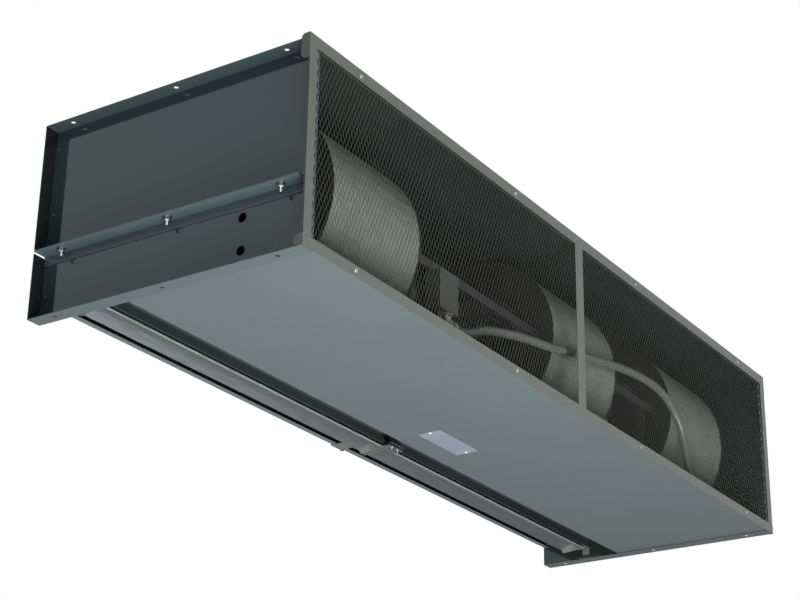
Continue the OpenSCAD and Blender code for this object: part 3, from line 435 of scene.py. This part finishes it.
def strands(x0, x1, y, z0, z1):
    """Vertices and faces of the strands over a window. From every second crossing of the lattice
    one strand rises to the left and one to the right, leaning as the press leaves them."""
    columns, rows = int((x1 - x0) / HALF_PITCH[0]), int((z1 - z0) / HALF_PITCH[1])
    i, j = np.meshgrid(np.arange(columns + 1), np.arange(rows), indexing="ij")
    crossings = np.stack([i, j], -1)[(i + j) % 2 == 0]
    verts, faces = [], []
    for step in (-1, 1):
        reached = crossings[:, 0] + step
        low = np.array([x0, z0]) + crossings[(reached >= 0) & (reached <= columns)] * HALF_PITCH
        rise = HALF_PITCH * (step, 1)
        edge = np.array([rise[1], -rise[0]]) / np.linalg.norm(rise) * STRAND_W / 2
        corners = []
        for end in (low, low + rise):
            for side, face in ((1, -1), (1, 1), (-1, 1), (-1, -1)):
                corner = end + side * edge
                depth = np.full(len(end), y + side * LEAN + face * STRAND_T / 2)
                corners.append(np.stack([corner[:, 0], depth, corner[:, 1]], 1))
        first = sum(map(len, verts)) + len(corners) * np.arange(len(low))[:, None]
        for quad in ((0, 1, 5, 4), (1, 2, 6, 5), (2, 3, 7, 6), (3, 0, 4, 7)):
            faces.append(first + np.array(quad))
        verts.append(np.stack(corners, 1).reshape(-1, 3))
    verts = np.concatenate(verts)
    verts[:, X] = np.clip(verts[:, X], x0, x1)
    verts[:, Z] = np.clip(verts[:, Z], z0, z1)
    return verts, np.concatenate(faces)


def expanded_metal(side):
    """Expanded metal at its true pitch, in place of a grille mesh's solid."""
    node = f"{side}_grille_mesh"
    low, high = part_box(node)
    verts, faces = strands(low.x, high.x, (low.y + high.y) / 2, low.z, high.z)
    name = f"{side}_expanded_metal"
    piece = place_piece(name, quad_mesh(name, verts, faces), "mesh")
    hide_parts(node)


for side in SIDES:
    expanded_metal(side)


# ---- Cords ----

CONDUIT = [
    (-0.484, -0.29865, 0.082), (-0.464, -0.29865, 0.082), (-0.445, -0.29865, 0.084),
    (-0.421, -0.29965, 0.091), (-0.396, -0.30365, 0.102), (-0.359, -0.31065, 0.118),
    (-0.296, -0.31765, 0.133), (-0.204, -0.32265, 0.152), (-0.079, -0.32465, 0.171),
    (0.021, -0.32465, 0.193), (0.124, -0.32465, 0.212), (0.225, -0.32465, 0.231),
    (0.32, -0.32465, 0.247), (0.4, -0.32465, 0.257), (0.47, -0.32465, 0.262),
    (0.528, -0.32465, 0.261), (0.578, -0.32465, 0.253), (0.619, -0.32465, 0.238),
    (0.651, -0.32565, 0.215), (0.677, -0.32765, 0.185), (0.695, -0.32665, 0.15),
    (0.711, -0.32365, 0.104), (0.728, -0.32365, 0.063), (0.754, -0.33265, 0.033),
    (0.792, -0.34665, 0.017), (0.843, -0.35765, 0.016), (0.884, -0.35365, 0.016),
    (0.917, -0.33165, 0.016), (0.936, -0.29365, 0.016), (0.934, -0.25165, 0.016),
    (0.911, -0.21565, 0.016), (0.871, -0.19465, 0.016), (0.815, -0.19265, 0.016),
    (0.739, -0.19265, 0.016), (0.679, -0.19265, 0.016), (0.61, -0.19265, 0.016),
    (0.569, -0.18565, 0.028), (0.539, -0.17765, 0.053), (0.522, -0.16965, 0.087),
    (0.5165, -0.16515, 0.13), (0.5165, -0.16515, 0.178567)
]
LEAD = [
    (-0.4815, -0.29465, 0.146), (-0.471, -0.29465, 0.146), (-0.447, -0.28765, 0.142),
    (-0.422, -0.27165, 0.136), (-0.404, -0.25065, 0.131), (-0.392, -0.22865, 0.129),
    (-0.387, -0.20765, 0.128), (-0.384, -0.18465, 0.134), (-0.384, -0.16765, 0.15),
    (-0.384, -0.16165, 0.174567), (-0.384, -0.16165, 0.182567)
]
EARTH = [
    (-0.4915, -0.29465, 0.172), (-0.48, -0.29465, 0.172), (-0.455, -0.28765, 0.167),
    (-0.43, -0.26965, 0.158), (-0.406, -0.24465, 0.149), (-0.385, -0.21765, 0.145),
    (-0.369, -0.19265, 0.149), (-0.361, -0.17465, 0.16), (-0.36, -0.16665, 0.18),
    (-0.36, -0.16665, 0.192567)
]
CONDUIT_R, LEAD_R, EARTH_R = 0.011, 0.006, 0.0025
BAND_X, BAND_R = 0.021, 0.0116                  # band over the joint in the conduit
BAND_STEPS = 3                                  # of the conduit's path, to each side of its middle
TUBE_SIDES = 24


def smooth_route(route, steps):
    """Points of the smooth curve through a route."""
    points = np.array(route, float)
    last = len(points) - 1
    path = []
    for k in range(steps + 1):
        u = k * last / steps
        i = min(int(u), last - 1)
        f = u - i
        a, b, c, d = points[max(i - 1, 0)], points[i], points[i + 1], points[min(i + 2, last)]
        path.append(0.5 * (2 * b + (c - a) * f + (2 * a - 5 * b + 4 * c - d) * f * f
                           + (3 * b - a - 3 * c + d) * f ** 3))
    return np.array(path)


def tube(name, path, radius, key):
    """Closed round tube along a path that doesn't start upright."""
    ahead = np.gradient(path, axis=0)
    ahead /= np.linalg.norm(ahead, axis=1)[:, None]
    side = np.cross(ahead[0], (0, 0, 1))
    verts, faces = [], []
    for centre, tangent in zip(path, ahead):
        side = side - tangent * np.dot(side, tangent)
        side /= np.linalg.norm(side)
        up = np.cross(side, tangent)
        for m in range(TUBE_SIDES):
            a = 2 * math.pi * m / TUBE_SIDES
            verts.append(centre + radius * (math.cos(a) * side + math.sin(a) * up))
    last = (len(path) - 1) * TUBE_SIDES
    for base in range(0, last, TUBE_SIDES):
        for m in range(TUBE_SIDES):
            a, b = base + m, base + (m + 1) % TUBE_SIDES
            faces.append((a, b, b + TUBE_SIDES, a + TUBE_SIDES))
    faces.append(range(TUBE_SIDES)[::-1])
    faces.append(range(last, last + TUBE_SIDES))
    return add_piece(name, verts, faces, key, smooth=True)


def wire(name, node, route, radius, key, steps):
    """Cord that replaces its plain solid. Returns its path."""
    path = smooth_route(route, steps)
    piece = tube(name, path, radius, key)
    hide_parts(node)
    return path


def make_wiring():
    hose = wire("conduit_hose", "conduit", CONDUIT, CONDUIT_R, "hose", steps=480)
    middle = int(np.argmin(np.abs(hose[:, X] - BAND_X)))
    held = hose[middle - BAND_STEPS:middle + BAND_STEPS + 1]
    tube("conduit_band", held, BAND_R, "band")
    wire("motor_lead_jacket", "motor_lead", LEAD, LEAD_R, "lead", steps=120)
    wire("earth_wire_insulation", "earth_wire", EARTH, EARTH_R, "green", steps=120)


make_wiring()


# ---- Fasteners ----

FIX_X = (WEB_X + SHEET + END_X) / 2             # middle of the end panels' flanges
FIX_FIRST, FIX_PITCH = 0.074, 0.305
FIX_YS = [FRONT_Y + FIX_FIRST + FIX_PITCH * k for k in range(3)]
ANGLE_T = 0.003
BOLT_R, BOLT_DROP = 0.00476, 0.021
HEX_R, HEX_CHAMFER, HEX_TURN = 0.0082, 0.0007, 0.26
HEAD_H = 0.006
COLLAR_R, COLLAR_H = 0.00738, 0.0005            # thin collar under the bolt's head
WASHER_R, WASHER_T, NUT_H = 0.011, 0.002, 0.008
WASHER_EDGE = 0.0002
HAIR = 0.0001                                   # keeps two faces from lying in each other
THREAD_PITCH, THREAD_DEPTH = 0.0016, 0.488      # depth as a share of the pitch
THREAD_ROWS = 89
TIP_H, TIP_R = 0.0006, 0.8                      # radius as a share of the rod's

SCREW_XS, SCREW_ZS = (-0.992, -0.323, 0.323, 0.992), (TOP_Z - 0.006, 0.015)
SCREW_HEAD_R, SCREW_HEAD_H, SCREW_R = 0.0055, 0.002, 0.0021
DOME_POWER = 3.2                                # a high one has a flat middle and a round edge
CROSS_LENGTH, CROSS_WIDTH, CROSS_DEPTH = 0.55, 0.13, 0.75   # shares of the head's radius and height

PLATE_RIVET_XS = (-0.088, 0.088)
PLATE_RIVET_DOME = ((0.0008, 0.001), (0.002, 0.0009), (0.0031, 0.0005), (0.0034, 0))  # radius, drop


def circle(centre, radius, z, sides, turn=0.0):
    """Points of a level circle."""
    angles = [turn + 2 * math.pi * m / sides for m in range(sides)]
    return [(centre[0] + radius * math.cos(a), centre[1] + radius * math.sin(a), z) for a in angles]


class Solids:
    """Vertices and faces of several small solids in one mesh."""

    def __init__(self):
        self.verts, self.faces = [], []

    def bands(self, base, rows, sides):
        """Quads between rows of vertices that lie one after another from base."""
        for row in range(base, base + (rows - 1) * sides, sides):
            for m in range(sides):
                a, b = row + m, row + (m + 1) % sides
                self.faces.append((a, b, b + sides, a + sides))

    def rings(self, rings):
        """Closed solid through rings of points."""
        base, sides = len(self.verts), len(rings[0])
        for ring in rings:
            self.verts.extend(ring)
        self.bands(base, len(rings), sides)
        last = base + (len(rings) - 1) * sides
        self.faces.append(range(base, base + sides)[::-1])
        self.faces.append(range(last, last + sides))

    def prism(self, c, r, z0, z1, sides, edge, turn=0.0):
        """Upright prism or disc with its edges broken."""
        self.rings([circle(c, r - edge, z0, sides, turn), circle(c, r, z0 + edge, sides, turn),
                    circle(c, r, z1 - edge, sides, turn), circle(c, r - edge, z1, sides, turn)])

    def hexagon(self, c, z0, z1):
        self.prism(c, HEX_R, z0, z1, sides=6, edge=HEX_CHAMFER, turn=HEX_TURN)

    def washer(self, c, r, z0, z1):
        self.prism(c, r, z0, z1, sides=40, edge=WASHER_EDGE)

    def thread(self, c, r, z0, z1, sides=24):
        """Threaded rod with a blunt tip at its lower end."""
        rings = [circle(c, r * TIP_R, z0, sides)]
        for k in range(THREAD_ROWS + 1):
            z = z0 + TIP_H + (z1 - z0 - TIP_H) * k / THREAD_ROWS
            ring = []
            for m in range(sides):
                phase = (z / THREAD_PITCH - m / sides) % 1
                q = r - THREAD_DEPTH * THREAD_PITCH * abs(2 * phase - 1)
                a = 2 * math.pi * m / sides
                ring.append((c[0] + q * math.cos(a), c[1] + q * math.sin(a), z))
            rings.append(ring)
        self.rings(rings)

    def cross_head(self, x, y, z, rows=14, sides=56):
        """Domed screw head with a cross recess, facing -Y from its seat at y."""
        base = len(self.verts)
        for k in range(rows + 1):
            q = SCREW_HEAD_R * k / rows
            for m in range(sides):
                a = 2 * math.pi * m / sides
                dx, dz = q * math.cos(a), q * math.sin(a)
                height = SCREW_HEAD_H * (1 - (q / SCREW_HEAD_R) ** DOME_POWER)
                in_arm = min(abs(dx), abs(dz)) < SCREW_HEAD_R * CROSS_WIDTH
                if in_arm and q < SCREW_HEAD_R * CROSS_LENGTH:
                    height -= SCREW_HEAD_H * CROSS_DEPTH * (1 - q / SCREW_HEAD_R)
                self.verts.append((x + dx, y - height, z + dz))
        self.bands(base, rows + 1, sides)

    def shank(self, x, z, y0, y1, sides=16):
        """Plain rod along Y."""
        angles = [2 * math.pi * m / sides for m in range(sides)]
        self.rings([[(x + SCREW_R * math.cos(a), y, z + SCREW_R * math.sin(a)) for a in angles]
                    for y in (y0, y1)])

    def build(self, name, key, *replaced):
        """One piece of them all, in place of some CAD nodes."""
        piece = add_piece(name, self.verts, self.faces, key)
        if replaced:
            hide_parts(*replaced)


def mounting_hardware():
    bolts, nuts = Solids(), Solids()
    under = ANGLE_TOP - ANGLE_T
    for side in (-1, 1):
        for y in FIX_YS:
            c = (side * FIX_X, y)
            bolts.hexagon(c, ANGLE_TOP + COLLAR_H - HAIR, ANGLE_TOP + HEAD_H)
            bolts.washer(c, COLLAR_R, ANGLE_TOP, ANGLE_TOP + COLLAR_H)
            bolts.thread(c, BOLT_R, under - BOLT_DROP, ANGLE_TOP)
            nuts.washer(c, WASHER_R, under - WASHER_T + HAIR, under)
            nuts.hexagon(c, under - WASHER_T - NUT_H, under - WASHER_T)
    bolts.build("mounting_bolts_threaded", "bolt", "mounting_bolts")
    nuts.build("mounting_nuts_chamfered", "bolt", "mounting_nuts")


def grille_hardware():
    screws = Solids()
    low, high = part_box("grille_screws")
    for x in SCREW_XS:
        for z in SCREW_ZS:
            screws.cross_head(x, low.y + SCREW_HEAD_H, z)
            screws.shank(x, z, low.y + SCREW_HEAD_H + HAIR, high.y)
    screws.build("grille_screws_crossed", "zinc", "grille_screws")


def plate_rivets():
    """Heads of the two rivets in the nameplate, on the CAD rivets' ends."""
    domes = Solids()
    low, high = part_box("nameplate")
    for x in PLATE_RIVET_XS:
        centre = (x, (low.y + high.y) / 2)
        domes.rings([circle(centre, radius, low.z - drop, sides=20)
                     for radius, drop in PLATE_RIVET_DOME])
    domes.build("plate_rivet_domes", "rivet")


mounting_hardware()
grille_hardware()
plate_rivets()


# ---- Stage and light ----

FILL = 0.2                                      # world's strength on the object
FLOOR_Z, FLOOR_HALF = -8, 60
FLOOR_SEEN, FLOOR_MIRRORED = 0.85, 0.04         # its glow to the camera, and in gloss or glass
AIM = Vector((0, 0, 0.2))


def ray_strength(tree, socket, plain, seen, mirrored):
    """Strength of a glow: seen by the camera, mirrored in gloss or through glass, plain otherwise."""
    path = tree.nodes.new("ShaderNodeLightPath")
    total = None
    for kind, strength in (("Is Camera Ray", seen), ("Is Glossy Ray", mirrored),
                           ("Is Transmission Ray", mirrored)):
        step = tree.nodes.new("ShaderNodeMath")
        step.operation = "MULTIPLY_ADD"
        tree.links.new(path.outputs[kind], step.inputs[0])
        step.inputs[1].default_value = strength - plain
        step.inputs[2].default_value = plain
        if total:
            tree.links.new(total, step.inputs[2])
        total = step.outputs[0]
    tree.links.new(total, socket)


def make_world():
    """White to the camera and in reflections, a plain grey fill for the object."""
    world = bpy.data.worlds.new("studio")
    scene.world = world
    world.use_nodes = True
    background = world.node_tree.nodes["Background"]
    background.inputs["Color"].default_value = (*WHITE, 1)
    ray_strength(world.node_tree, background.inputs["Strength"], FILL, 1.0, 1.0)


def make_floor():
    """Pale floor, far below because the camera looks up."""
    data = bpy.data.meshes.new("floor")
    signs = ((-1, -1), (1, -1), (1, 1), (-1, 1))
    data.from_pydata([(x * FLOOR_HALF, y * FLOOR_HALF, FLOOR_Z) for x, y in signs], [], [(0, 1, 2, 3)])
    n = Nodes("floor_grey")
    sockets = n.bsdf.inputs
    color = n.ramp(n.noise(scale=0.8), (0.3, (0.72, 0.72, 0.72)), (0.7, (0.76, 0.76, 0.76)))
    n.link(color, sockets["Base Color"])
    sockets["Roughness"].default_value = 0.8
    sockets["Specular IOR Level"].default_value = 0
    sockets["Emission Color"].default_value = (*WHITE, 1)
    ray_strength(n.tree, sockets["Emission Strength"], 0.0, FLOOR_SEEN, FLOOR_MIRRORED)
    data.materials.append(n.mat)
    floor = bpy.data.objects.new("floor", data)
    scene.collection.objects.link(floor)


def lamp(name, at, size, power):
    """Soft rectangular lamp, aimed at the cabinet and not itself seen."""
    data = bpy.data.lights.new(name, "AREA")
    data.shape = "RECTANGLE"
    data.size, data.size_y = size
    data.energy = power
    o = bpy.data.objects.new(name, data)
    scene.collection.objects.link(o)
    o.location = at
    o.rotation_mode = "QUATERNION"
    o.rotation_quaternion = (AIM - Vector(at)).to_track_quat("-Z", "Y")
    o.visible_camera = False


make_world()
make_floor()
lamp("key", at=(-1.35, -1.75, -2.75), size=(2.4, 2.4), power=350)
lamp("front", at=(-2.2, -4.6, 1.0), size=(2.6, 1.8), power=25)

scene.view_settings.view_transform = "Standard"
